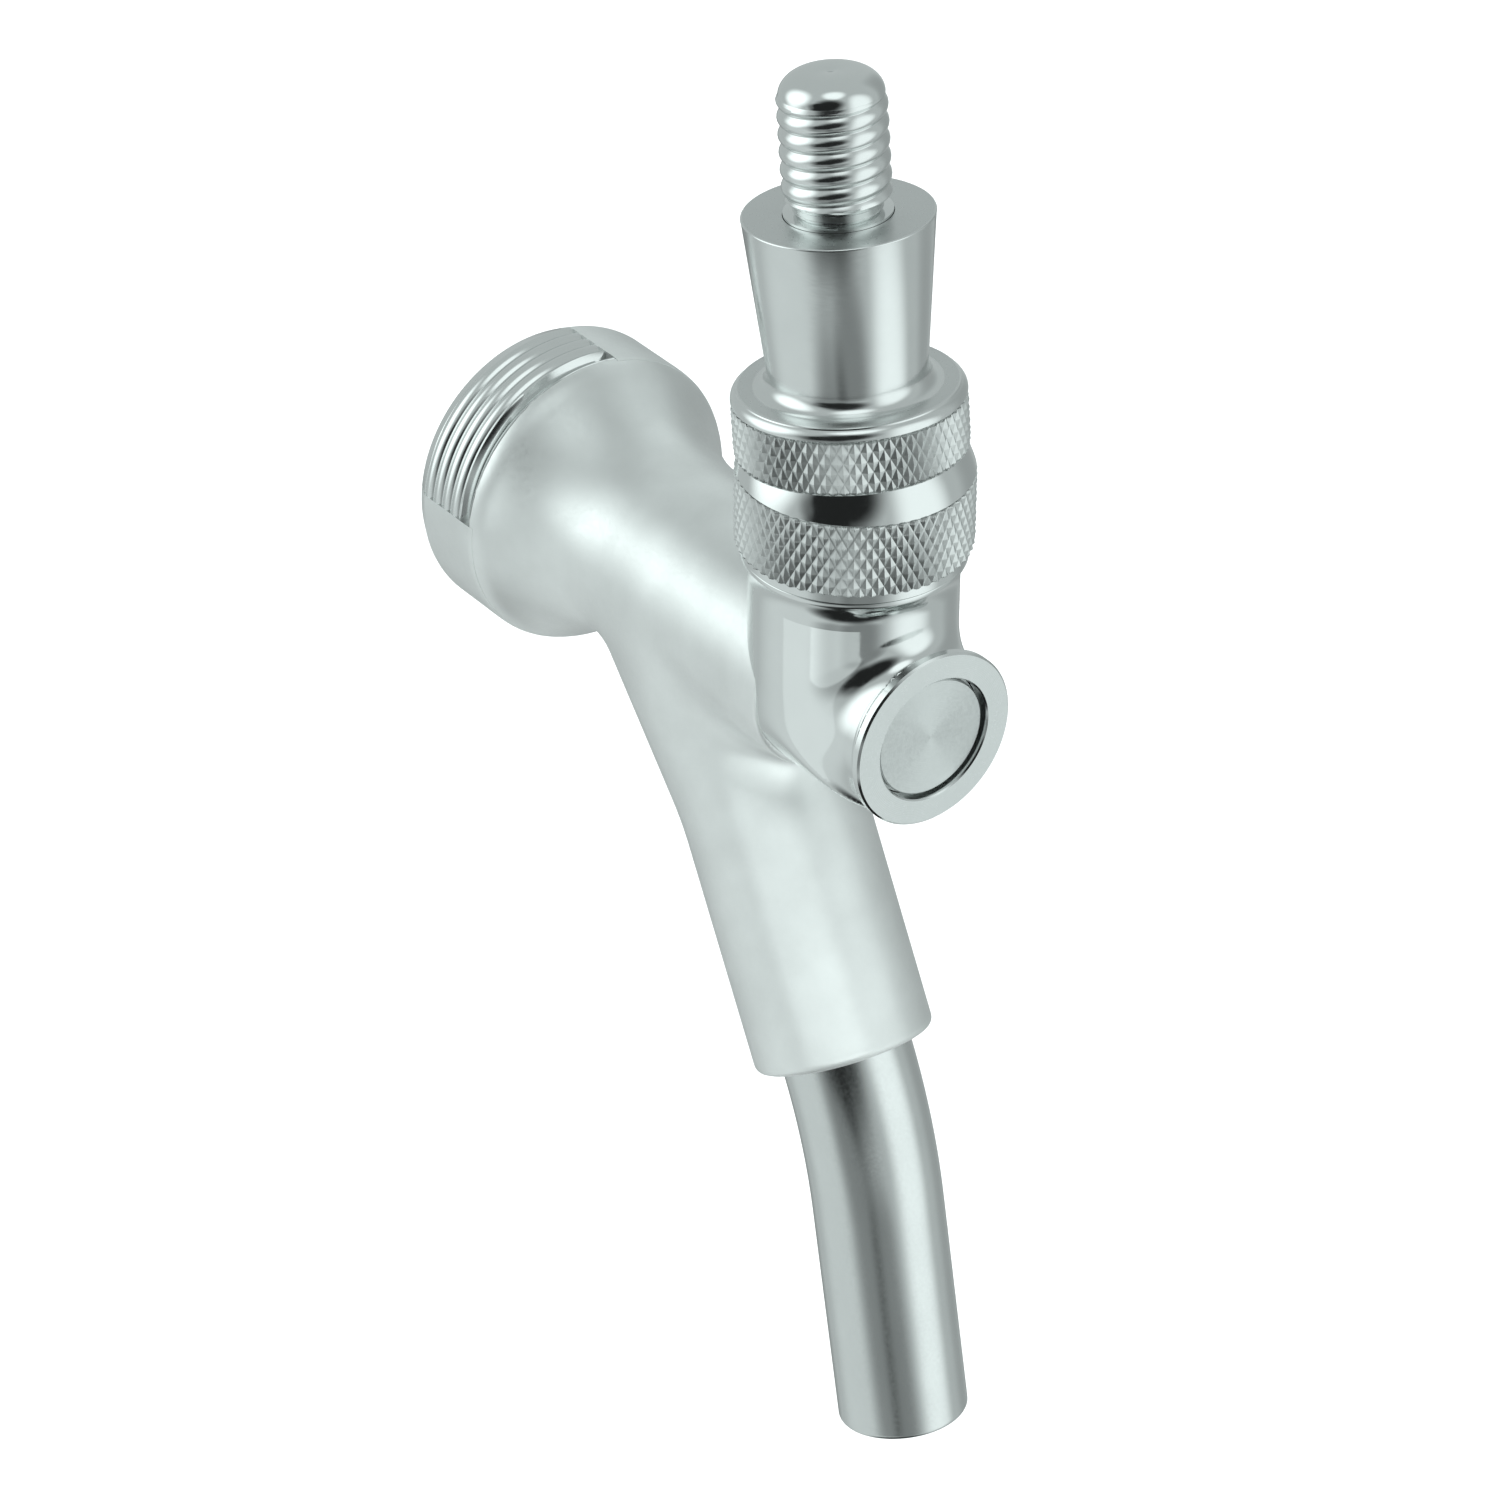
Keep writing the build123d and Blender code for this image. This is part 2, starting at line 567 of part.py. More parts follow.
with BuildPart() as ball_washer:
    with BuildSketch(VALVE_PLANE.offset(LEVER_CHAMBER_TOP)):
        Circle(SEAT_COUNTERBORE - FIT)
        Circle(4.6, mode=Mode.SUBTRACT)
    extrude(amount=2.3)
    with Locations((0, AXIS_Y, PIVOT_Z)):
        Sphere(ball_socket, mode=Mode.SUBTRACT)
ball_washer.part.label = "ball_washer"

lever_o_ring = ring(VALVE_PLANE.offset(PIVOT_Z - 3.25), 6.42, LEVER_RING)
lever_o_ring.part.label = "lever_o_ring"

# ---- valve shaft --------------------------------------------------------------------------------
finger_y = -PIVOT_Z * sin(LEAN)
seal_face = SEAT_FACE + SEAT_INSERT_LENGTH + 0.05
with BuildPart() as shaft:
    with BuildSketch(across(SHAFT_FRONT)):
        Circle(SHAFT_RADIUS)
    extrude(amount=SHAFT_STEM_START - SHAFT_FRONT)
    chamfer(shaft.edges().group_by(Axis.Y)[0], 0.5)
    with BuildSketch(across(SHAFT_STEM_START)):
        Circle(STEM_RADIUS)
    extrude(amount=seal_face - SHAFT_STEM_START)
    with BuildSketch(across(seal_face - 1.0)):
        Circle(4.0)
    extrude(amount=1.0)
    with BuildSketch(across(seal_face)):
        Circle(1.6)
    extrude(amount=SEAL_THICK + CUP_THICK + NUT_THICK)
    # groove for each O-ring
    for place in (8.2, 10.8):
        with BuildSketch(across(place - 0.55)):
            Circle(SHAFT_RADIUS + 1)
            Circle(SHAFT_RADIUS - 2 * SHAFT_RING, mode=Mode.SUBTRACT)
        extrude(amount=1.1, mode=Mode.SUBTRACT)
    # flat and cross hole that take the lever's finger
    with BuildSketch(Plane(origin=(0, row_y(finger_y), SHAFT_FLAT_Z))):
        Rectangle(2 * SHAFT_RADIUS, 8.2)
    extrude(amount=SHAFT_RADIUS, mode=Mode.SUBTRACT)
    with BuildSketch(Plane(origin=(0, row_y(finger_y), -SHAFT_RADIUS - 1))):
        Circle(FINGER_TIP_RADIUS + 0.12)
    extrude(amount=2 * SHAFT_RADIUS + 2, mode=Mode.SUBTRACT)
shaft.part.label = "shaft"

shaft_rings = {}
for name, place in (("shaft_o_ring_front", 8.2), ("shaft_o_ring_rear", 10.8)):
    shaft_rings[name] = ring(across(place), SHAFT_RADIUS - SHAFT_RING, SHAFT_RING)
    shaft_rings[name].part.label = name

valve_seal = washer(across(seal_face), 6.5, 1.62, SEAL_THICK)
valve_seal.part.label = "valve_seal"

seal_cup = washer(across(seal_face + SEAL_THICK), 5.4, 1.62, CUP_THICK)
seal_cup.part.label = "seal_cup"

with BuildPart() as seal_nut:
    with BuildSketch(across(seal_face + SEAL_THICK + CUP_THICK)):
        RegularPolygon(NUT_ACROSS_FLATS / 2, 6, major_radius=False)
        Circle(1.62, mode=Mode.SUBTRACT)
    extrude(amount=NUT_THICK)
seal_nut.part.label = "seal_nut"

# ---- front plug ---------------------------------------------------------------------------------
with BuildPart() as front_plug:
    with BuildSketch(across(-FLANGE_FRONT + 0.5)):
        Circle(PLUG_BORE - 0.28)
    extrude(amount=1.0)
    with BuildSketch(across(-FLANGE_FRONT + 1.5)):
        Circle(PLUG_BORE - FIT)
    extrude(amount=FLANGE_FRONT - PLUG_SHOULDER - 1.5 - 0.1)
    with BuildSketch(across(-9.15)):
        Circle(PLUG_BORE + 1)
        Circle(PLUG_BORE - FIT - 2 * PLUG_RING - 0.02, mode=Mode.SUBTRACT)
    extrude(amount=1.15, mode=Mode.SUBTRACT)
    chamfer(front_plug.edges().group_by(Axis.Y)[0], 0.15)
front_plug.part.label = "front_plug"

plug_o_ring = ring(across(-8.575), PLUG_BORE - FIT - PLUG_RING, PLUG_RING)
plug_o_ring.part.label = "plug_o_ring"

# ---- write every piece --------------------------------------------------------------------------
pieces = [
    body, coupling_washer, seat_insert, spout_tube, *spout_rings.values(), lever, lever_collar, bonnet,
    bonnet_washer, friction_ring, ball_washer, lever_o_ring, shaft, *shaft_rings.values(), valve_seal,
    seal_cup, seal_nut, front_plug, plug_o_ring,
]
os.makedirs("parts", exist_ok=True)
for piece in pieces:
    export_step(piece.part, f"parts/{piece.part.label}.step")
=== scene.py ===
"""Looks of the draft beer faucet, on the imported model. Shapes are worked out in millimetres."""

from math import asin, atan2, cos, pi, radians, sin, sqrt, tan

import bmesh
import bpy
import numpy as np
from mathutils import Matrix, Vector


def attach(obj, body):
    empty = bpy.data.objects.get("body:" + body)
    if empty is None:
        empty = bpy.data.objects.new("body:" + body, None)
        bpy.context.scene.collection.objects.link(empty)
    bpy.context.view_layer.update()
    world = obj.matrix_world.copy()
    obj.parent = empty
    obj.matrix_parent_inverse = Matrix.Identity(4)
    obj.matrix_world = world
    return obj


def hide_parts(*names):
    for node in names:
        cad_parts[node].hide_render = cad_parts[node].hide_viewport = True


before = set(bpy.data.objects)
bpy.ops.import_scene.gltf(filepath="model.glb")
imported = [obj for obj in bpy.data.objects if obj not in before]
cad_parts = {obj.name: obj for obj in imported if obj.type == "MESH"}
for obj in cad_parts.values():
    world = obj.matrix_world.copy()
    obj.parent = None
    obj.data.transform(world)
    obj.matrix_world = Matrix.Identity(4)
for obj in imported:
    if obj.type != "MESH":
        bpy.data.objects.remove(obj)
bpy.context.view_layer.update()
MM = 0.001
INCH = 25.4
REACH = 48.7                       # coupling face to the valve axis
PIVOT_Z = 19.0                     # ball centre above the shank axis
LEAN = radians(6.4)                # lever tilted back at rest
VALVE = np.array([0.0, -REACH, 0.0])


# ---- meshes -------------------------------------------------------------------------------------
def make_object(name, points, faces, body, material, normals=None, sharp=30.0, smooth=True):
    """A mesh object from points in millimetres, riding on a body."""
    mesh = bpy.data.meshes.new(name)
    mesh.from_pydata((np.asarray(points) * MM).tolist(), [], faces)
    mesh.update()
    mesh.materials.append(material)
    obj = bpy.data.objects.new(name, mesh)
    bpy.context.scene.collection.objects.link(obj)
    mesh.polygons.foreach_set("use_smooth", [smooth] * len(mesh.polygons))
    if smooth and normals is None:
        mesh.set_sharp_from_angle(angle=radians(sharp))
    if normals is not None:
        mesh.normals_split_custom_set_from_vertices(np.asarray(normals).tolist())
    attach(obj, body)
    return obj


def basis(origin, axis):
    """Origin and three unit vectors, the last along axis."""
    w = np.asarray(axis, float)
    w = w / np.linalg.norm(w)
    u = np.array([1.0, 0.0, 0.0])
    u = u - w * (u @ w)
    u = u / np.linalg.norm(u)
    return np.asarray(origin, float), u, np.cross(w, u), w


def arc(centre, radius, start, end, steps):
    """Profile points on an arc, angles in degrees, as (r, h)."""
    turns = np.radians(np.linspace(start, end, steps + 1))
    return [(centre[0] + radius * cos(t), centre[1] + radius * sin(t)) for t in turns]


def lathe(name, profile, place, body, material, steps=192, sharp=30.0, faced=None, span=None):
    """A turned piece: profile points (r, h) about the axis of place, closed round from last to first.
    Its faces square to the axis may have a finish of their own, and a span in degrees makes only a
    sector of the round."""
    origin, u, v, w = place
    turns = np.linspace(0, 2 * pi, steps, endpoint=False)
    if span:
        turns = np.radians(np.linspace(span[0], span[1], steps))
    circle = np.outer(np.cos(turns), u) + np.outer(np.sin(turns), v)
    rings, points, faces = [], [], []
    for r, h in profile:
        on_axis = r < 1e-6
        rings.append(range(len(points), len(points) + (1 if on_axis else steps)))
        points.extend([origin + w * h] if on_axis else origin + w * h + r * circle)
    pairs = list(zip(rings, rings[1:]))
    if len(rings[0]) > 1 and len(rings[-1]) > 1:
        pairs.append((rings[-1], rings[0]))
    if span:
        faces = [tuple(ring[0] for ring in rings), tuple(ring[-1] for ring in reversed(rings))]
    for a, b in pairs:
        if len(a) == 1 and len(b) == 1:
            continue
        for i in range(steps - 1 if span else steps):
            j = (i + 1) % steps
            if len(a) == 1:
                faces.append((a[0], b[j], b[i]))
            elif len(b) == 1:
                faces.append((a[i], a[j], b[0]))
            else:
                faces.append((a[i], a[j], b[j], b[i]))
    obj = make_object(name, points, faces, body, material, sharp=sharp)
    clean(obj, 1e-7, 1e-7)
    if faced is not None:
        obj.data.materials.append(faced)
        for face in obj.data.polygons:
            if face.normal.dot(Vector(w)) > 0.999:
                face.material_index = 1
    return obj


def clean(obj, weld, thin, fill=False):
    """Welds coincident points, drops faces without area, caps open rims if asked, and turns the
    normals out of the solid."""
    work = bmesh.new()
    work.from_mesh(obj.data)
    bmesh.ops.remove_doubles(work, verts=work.verts, dist=weld)
    bmesh.ops.dissolve_degenerate(work, dist=thin, edges=work.edges)
    if fill:
        bmesh.ops.holes_fill(work, edges=[e for e in work.edges if e.is_boundary], sides=0)
    bmesh.ops.recalc_face_normals(work, faces=work.faces)
    work.to_mesh(obj.data)
    work.free()


# One pitch of thread: places along it, and at each the depth as a share of the full depth.
THREAD_STEPS = (0.02, 0.06, 0.14, 0.24, 0.36, 0.5, 0.64, 0.76, 0.86, 0.94, 0.98)
THREAD_SHAPE = [(x, min(1.0, 1.12 * (2 * x - 1) ** 2)) for x in THREAD_STEPS]
THREAD_TURN = 144                  # mesh cells round one turn


def thread(name, radius, pitch, low, high, envelope, root, place, body, material, bore=None):
    """A right-hand external thread between two heights. envelope(h) is the largest radius allowed at a
    height and root the depth below the crest. It is a tube round a bore, or solid without one."""
    origin, u, v, w = place
    turns = np.linspace(0, 2 * pi, THREAD_TURN + 1)
    circle = np.outer(np.cos(turns), u) + np.outer(np.sin(turns), v)
    grid = []
    for turn in range(int((high - low) / pitch) + 3):
        for phase, depth in THREAD_SHAPE:
            h = low + (turn + phase - 1.0) * pitch + pitch * turns / (2 * pi)
            inside = (h > low) & (h < high)
            h = np.clip(h, low, high)
            most = np.array([envelope(x) for x in h])
            r = np.minimum(np.where(inside, radius - depth * root, radius - root), most)
            grid.append(origin + np.outer(h, w) + r[:, None] * circle)
    if bore:
        wall = bore * circle
        grid += [origin + high * w + wall, origin + low * w + wall, grid[0]]
    columns = len(turns)
    faces = []
    for i in range(len(grid) - 1):
        for j in range(columns - 1):
            a = i * columns + j
            faces.append((a, a + 1, a + columns + 1, a + columns))
    obj = make_object(name, np.concatenate(grid), faces, body, material, sharp=35.0)
    clean(obj, 2e-6, 1e-6, fill=True)
    return obj


KNURL_COUNT = 62                   # diamonds round the drum
KNURL_RISE, KNURL_DEPTH = 1.95, 0.25
KNURL_STEPS = 8                    # mesh cells across a diamond
KNURL_CHAMFER = 0.12               # height over which the diamonds run out at the ends


def knurl(name, radius, low, high, under, place, body, material):
    """Diamond knurling between two heights: two crossed families of V grooves round a drum, on a
    sleeve whose inside has the radius under."""
    origin, u, v, w = place
    around = KNURL_COUNT * KNURL_STEPS
    rows = int(round((high - low) / (KNURL_RISE / KNURL_STEPS)))
    heights = np.linspace(low, high, rows + 1)

    def surface(i, j):
        turn = i / around * KNURL_COUNT
        climb = (j * (high - low) / rows) / KNURL_RISE
        one = 1 - abs(2 * ((turn + climb) % 1.0) - 1)
        two = 1 - abs(2 * ((turn - climb) % 1.0) - 1)
        lift = np.minimum(one, two)
        ends = np.clip(np.minimum(j, rows - j) / (rows * KNURL_CHAMFER / (high - low)), 0, 1)
        drop = KNURL_DEPTH * (1 - lift)
        return radius - drop - KNURL_DEPTH * 0.9 * (1 - ends)

    points = []
    i = np.arange(around)
    angle = 2 * pi * i / around
    circle = np.outer(np.cos(angle), u) + np.outer(np.sin(angle), v)
    for j in range(rows + 1):
        r = surface(i, j)
        points.append(origin + w * heights[j] + r[:, None] * circle)
    half = 2 * pi * (i + 0.5) / around
    circle_half = np.outer(np.cos(half), u) + np.outer(np.sin(half), v)
    for j in range(rows):
        r = surface(i + 0.5, j + 0.5)
        points.append(origin + w * (heights[j] + heights[j + 1]) / 2 + r[:, None] * circle_half)
    inner = [origin + w * h + under * circle for h in (high, low)]
    base = (rows + 1) * around + rows * around
    points = np.concatenate(points + inner)
    faces = []
    for j in range(rows):
        for k in range(around):
            n = (k + 1) % around
            a, b = j * around + k, j * around + n
            c, d = (j + 1) * around + n, (j + 1) * around + k
            m = (rows + 1) * around + j * around + k
            faces += [(a, b, m), (b, c, m), (c, d, m), (d, a, m)]
    for k in range(around):
        n = (k + 1) % around
        top = rows * around
        faces.append((top + k, top + n, base + n, base + k))
        faces.append((base + k, base + n, base + around + n, base + around + k))
        faces.append((base + around + k, base + around + n, n, k))
    obj = make_object(name, points, faces, body, material, smooth=False)
    clean(obj, 1e-7, 1e-7)
    return obj


# ---- smooth solids from distance functions ------------------------------------------------------
def smooth_min(a, b, k):
    """The smaller of two distances, with a fillet about k wide where they meet."""
    h = np.clip(0.5 + 0.5 * (b - a) / k, 0, 1)
    return b * (1 - h) + a * h - k * h * (1 - h)


def smooth_max(a, b, k):
    """The larger of two distances, with the edge between them rounded about k wide."""
    return -smooth_min(-a, -b, k)


def cylinder_distance(p, origin, axis, radius, low, high, edge=0.02):
    """Distance to a solid cylinder between two heights along its axis, with rounded edges."""
    origin, _, _, w = basis(origin, axis)
    q = p - origin
    h = q @ w
    r = np.linalg.norm(q - h[..., None] * w, axis=-1)
    return smooth_max(smooth_max(r - radius, h - high, edge), low - h, edge)


def surface_net(field, low, high, step):
    """Closed quad mesh of field(points) = 0, its vertices moved onto the surface, with its normals."""
    axes = [np.arange(low[i], high[i] + step, step) for i in range(3)]
    grid = np.stack(np.meshgrid(*axes, indexing="ij"), -1)
    value = np.empty(grid.shape[:3], np.float32)
    for i in range(grid.shape[0]):
        value[i] = field(grid[i])
    inside = value < 0
    shape = np.array(value.shape) - 1
    corners = [(i, j, k) for i in (0, 1) for j in (0, 1) for k in (0, 1)]
    parts = [inside[i:i + shape[0], j:j + shape[1], k:k + shape[2]] for i, j, k in corners]
    count = sum(x.astype(np.int8) for x in parts)
    active = (count > 0) & (count < 8)
    cells = np.argwhere(active)
    index = -np.ones(active.shape, np.int64)
    index[active] = np.arange(len(cells))
    total = np.zeros((len(cells), 3))
    weight = np.zeros(len(cells))
    for axis in range(3):
        others = [a for a in range(3) if a != axis]
        for m in (0, 1):
            for n in (0, 1):
                start = np.zeros(3, int)
                start[others[0]], start[others[1]] = m, n
                end = start.copy()
                end[axis] += 1
                a = value[tuple((cells + start).T)]
                b = value[tuple((cells + end).T)]
                cross = (a < 0) != (b < 0)
                t = np.where(cross, a / np.where(cross, a - b, 1), 0)
                spot = (cells + start).astype(float)
                spot[:, axis] += t
                total += spot * cross[:, None]
                weight += cross
    points = np.array(low) + step * total / weight[:, None]
    quads = []
    for axis in range(3):
        others = [a for a in range(3) if a != axis]
        first = [slice(1, -1)] * 3
        first[axis] = slice(0, -1)
        second = list(first)
        second[axis] = slice(1, None)
        a, b = inside[tuple(first)], inside[tuple(second)]
        edges = np.argwhere(a != b)
        edges[:, others[0]] += 1
        edges[:, others[1]] += 1
        flip = inside[tuple(edges.T)]
        ring = []
        for m, n in ((-1, -1), (0, -1), (0, 0), (-1, 0)):
            spot = edges.copy()
            spot[:, others[0]] += m
            spot[:, others[1]] += n
            ring.append(index[tuple(spot.T)])
        ring = np.stack(ring, 1)
        if axis == 1:
            flip = ~flip
        ring[~flip] = ring[~flip][:, ::-1]
        quads.append(ring)
    quads = np.concatenate(quads)
    small = 1e-3
    offsets = np.eye(3) * small

    def gradient(p):
        return np.stack([(field(p + o) - field(p - o)) / (2 * small) for o in offsets], -1)

    start = points.copy()
    for _ in range(4):
        g = gradient(points)
        length = np.maximum((g * g).sum(-1), 1e-3)
        points = points - g * (field(points) / length)[:, None]
        move = points - start
        size = np.linalg.norm(move, axis=1)
        points = start + move * np.minimum(1, 0.9 * step / np.maximum(size, 1e-9))[:, None]
    g = gradient(points)
    return points, quads, g / np.maximum(np.linalg.norm(g, axis=1), 1e-9)[:, None]


# ---- materials ----------------------------------------------------------------------------------
def steel(name, colour, rough, rough_vary, grain=0.0, grain_size=0.25, stretch=(1, 1, 1), aniso=0.0,
          tangent=None, mottle=0.04, metal=1.0, rings=None, ring_size=0.2):
    """Bare steel: slow mottling of tone and a fine grain in gloss, and in bump where grain is its depth.
    Rings are the turning marks of a face about that axis. Sizes are in millimetres."""
    material = bpy.data.materials.new(name)
    material.use_nodes = True
    nodes, links = material.node_tree.nodes, material.node_tree.links
    shader = nodes["Principled BSDF"]
    shader.inputs["Metallic"].default_value = metal
    place = nodes.new("ShaderNodeTexCoord")
    cloud = nodes.new("ShaderNodeTexNoise")
    cloud.inputs["Scale"].default_value = 180.0
    cloud.inputs["Detail"].default_value = 5.0
    links.new(place.outputs["Object"], cloud.inputs["Vector"])
    tone = nodes.new("ShaderNodeValToRGB")
    tone.color_ramp.elements[0].position = 0.3
    tone.color_ramp.elements[1].position = 0.7
    tone.color_ramp.elements[0].color = (*[c * (1 - mottle) for c in colour], 1)
    tone.color_ramp.elements[1].color = (*colour, 1)
    links.new(cloud.outputs["Fac"], tone.inputs["Fac"])
    links.new(tone.outputs["Color"], shader.inputs["Base Color"])
    mapping = nodes.new("ShaderNodeMapping")
    mapping.inputs["Scale"].default_value = stretch
    fine = nodes.new("ShaderNodeTexNoise")
    fine.inputs["Scale"].default_value = 1.0 / (grain_size * MM)
    fine.inputs["Detail"].default_value = 3.0
    links.new(place.outputs["Object"], mapping.inputs["Vector"])
    links.new(mapping.outputs["Vector"], fine.inputs["Vector"])
    gloss = nodes.new("ShaderNodeMapRange")
    gloss.inputs["From Min"].default_value = 0.3
    gloss.inputs["From Max"].default_value = 0.7
    gloss.inputs["To Min"].default_value = max(0.02, rough - rough_vary)
    gloss.inputs["To Max"].default_value = rough + rough_vary
    links.new(fine.outputs["Fac"], gloss.inputs["Value"])
    links.new(gloss.outputs["Result"], shader.inputs["Roughness"])
    if grain > 0:
        bump = nodes.new("ShaderNodeBump")
        bump.inputs["Strength"].default_value = 1.0
        bump.inputs["Distance"].default_value = grain * MM
        links.new(fine.outputs["Fac"], bump.inputs["Height"])
        links.new(bump.outputs["Normal"], shader.inputs["Normal"])
    if rings:
        groove = nodes.new("ShaderNodeTexWave")
        groove.wave_type = "RINGS"
        groove.rings_direction = rings
        groove.inputs["Scale"].default_value = 0.314 / (ring_size * MM)
        groove.inputs["Distortion"].default_value = 0.4
        groove.inputs["Detail"].default_value = 1.0
        bump = nodes.new("ShaderNodeBump")
        bump.inputs["Strength"].default_value = 0.6
        bump.inputs["Distance"].default_value = 0.004 * MM
        links.new(place.outputs["Object"], groove.inputs["Vector"])
        links.new(groove.outputs["Fac"], bump.inputs["Height"])
        links.new(bump.outputs["Normal"], shader.inputs["Normal"])
    if aniso:
        shader.inputs["Anisotropic"].default_value = aniso
        shader.inputs["Anisotropic Rotation"].default_value = 0.25
        way = nodes.new("ShaderNodeTangent")
        way.direction_type = "RADIAL"
        way.axis = tangent
        links.new(way.outputs["Tangent"], shader.inputs["Tangent"])
    return material


SOFT_GRAIN_SIZE, SOFT_GRAIN = 0.3, 0.01


def soft(name, colour, rough):
    """Rubber or plastic: fine grain in tone, gloss and bump."""
    material = bpy.data.materials.new(name)
    material.use_nodes = True
    nodes, links = material.node_tree.nodes, material.node_tree.links
    shader = nodes["Principled BSDF"]
    place = nodes.new("ShaderNodeTexCoord")
    fine = nodes.new("ShaderNodeTexNoise")
    fine.inputs["Scale"].default_value = 1.0 / (SOFT_GRAIN_SIZE * MM)
    fine.inputs["Detail"].default_value = 4.0
    links.new(place.outputs["Object"], fine.inputs["Vector"])
    tone = nodes.new("ShaderNodeValToRGB")
    tone.color_ramp.elements[0].color = (*[c * 0.75 for c in colour], 1)
    tone.color_ramp.elements[1].color = (*colour, 1)
    links.new(fine.outputs["Fac"], tone.inputs["Fac"])
    links.new(tone.outputs["Color"], shader.inputs["Base Color"])
    gloss = nodes.new("ShaderNodeMapRange")
    gloss.inputs["To Min"].default_value = rough - 0.1
    gloss.inputs["To Max"].default_value = rough + 0.1
    links.new(fine.outputs["Fac"], gloss.inputs["Value"])
    links.new(gloss.outputs["Result"], shader.inputs["Roughness"])
    bump = nodes.new("ShaderNodeBump")
    bump.inputs["Distance"].default_value = SOFT_GRAIN * MM
    links.new(fine.outputs["Fac"], bump.inputs["Height"])
    links.new(bump.outputs["Normal"], shader.inputs["Normal"])
    return material


BRIGHT = (0.76, 0.785, 0.778)
cast_steel = steel("cast_steel", (0.64, 0.663, 0.655), 0.37, 0.05, grain=0.006, grain_size=0.35,
                   mottle=0.10, metal=0.68)
polished = steel("polished_steel", BRIGHT, 0.10, 0.03, grain=0.0008, grain_size=0.5)
threaded = steel("threaded_steel", BRIGHT, 0.15, 0.03)
turned = steel("turned_steel", BRIGHT, 0.16, 0.04, grain=0.0006, grain_size=0.12,
               stretch=(0.12, 0.12, 1.0), aniso=0.3, tangent="Z")
knurled = steel("knurled_steel", (0.72, 0.745, 0.737), 0.36, 0.05)
faced = steel("faced_steel", (0.67, 0.696, 0.689), 0.30, 0.03, rings="Y", ring_size=0.16)
disc_steel = steel("plug_steel", (0.67, 0.699, 0.691), 0.36, 0.04, aniso=0.85, tangent="Y",
                   rings="Y", ring_size=0.22)
tube_steel = steel("tube_steel", (0.74, 0.765, 0.758), 0.21, 0.05, grain=0.0014, grain_size=0.3)
rubber = soft("seal_rubber", (0.035, 0.035, 0.037), 0.6)
washer = soft("washer_fibre", (0.10, 0.10, 0.105), 0.7)
seat = soft("seat_plastic", (0.82, 0.81, 0.76), 0.45)

# ---- body casting and polished housing ----------------------------------------------------------
# Points here and in the spout are measured from the valve axis: (x, distance behind it, height).
OUTLET_RADIUS = 8.54
OUTLET_START = np.array([0, 28.16, 0.0])
OUTLET_CORNER = np.array([0, 12.08, -18.15])
OUTLET_BEND = 24.0
OUTLET_SPARE = 9                   # run of its centre line past the end cut
OUTLET_END_Z = -40.2
TOP_ANGLE, LOW_ANGLE = radians(48.45), radians(61.5)
COVE_START, COVE_RADIUS = 25.8, 20
HEAD_FRONT = 14.28                 # radius of the head before its thread
CASTING_END = 39.82                # where the turned head takes over
top_way = np.array([0, -cos(TOP_ANGLE), -sin(TOP_ANGLE)])
low_way = np.array([0, -cos(LOW_ANGLE), -sin(LOW_ANGLE)])
outlet_end = OUTLET_CORNER + low_way * (OUTLET_CORNER[2] - OUTLET_END_Z) / sin(LOW_ANGLE)
tangent_length = OUTLET_BEND * tan((LOW_ANGLE - TOP_ANGLE) / 2)
bend_in = OUTLET_CORNER - top_way * tangent_length
bend_out = OUTLET_CORNER + low_way * tangent_length
bend_centre = bend_in + np.array([0, -top_way[2], top_way[1]]) * OUTLET_BEND


def segment_distance(p, a, b):
    """Distance from points to the segment from a to b."""
    ab = b - a
    t = np.clip(((p - a) @ ab) / (ab @ ab), 0, 1)
    return np.linalg.norm(p - a - t[..., None] * ab, axis=-1)


def outlet_line(p):
    """Distance to the outlet's centre line: two runs and the bend between them."""
    runs = np.minimum(segment_distance(p, OUTLET_START, bend_in),
                      segment_distance(p, bend_out, outlet_end + low_way * OUTLET_SPARE))
    q = p - bend_centre
    ring = np.sqrt((np.hypot(q[..., 1], q[..., 2]) - OUTLET_BEND) ** 2 + q[..., 0] ** 2)
    ahead = ((p - bend_in) @ top_way > 0) & ((p - bend_out) @ low_way < 0)
    near = (q[..., 1] * (bend_in - bend_centre)[1] + q[..., 2] * (bend_in - bend_centre)[2]) > 0
    return np.where(ahead & near, np.minimum(ring, runs), runs)


def head_radius(y):
    """Radius of the barrel, cove and front of the head at a distance behind the valve axis."""
    cove = 29.4 - np.sqrt(np.maximum(COVE_RADIUS**2 - np.maximum(y - COVE_START, 0) ** 2, 1))
    return smooth_min(cove, np.full_like(cove, HEAD_FRONT), 0.9)


HOLLOWS = (                        # start, axis, radius, from and to along the axis
    ((0, 0, 0), (0, 1, 0), 4.5, -6.7, 19.2),        # shaft bore
    ((0, 0, 0), (0, 1, 0), 6.1, -14, -6.6),         # plug socket
    ((0, 0, 0), (0, 1, 0), 5.6, 19, 31),            # flow chamber
    ((0, 0, 0), (0, 1, 0), 7.9, 30, 50),            # inlet
    ((0, 0, 0), (0, 0, 1), 7.0, 0, 25),             # lever chamber
    (outlet_end, low_way, 6.4, -14.3, 10),          # spout socket
)
PASSAGE_RADIUS = 4.2
COLUMN_RADIUS, UNDERSIDE_RADIUS, BOSS_RADIUS = 9.36, 9.64, 7.6


def passages(p):
    """Distance to the hollows and to the flow passage down the outlet."""
    d = outlet_line(p) - PASSAGE_RADIUS + 3.0 * (p[..., 1] > 25.6)
    for hollow in HOLLOWS:
        d = np.minimum(d, cylinder_distance(p, *hollow))
    return d


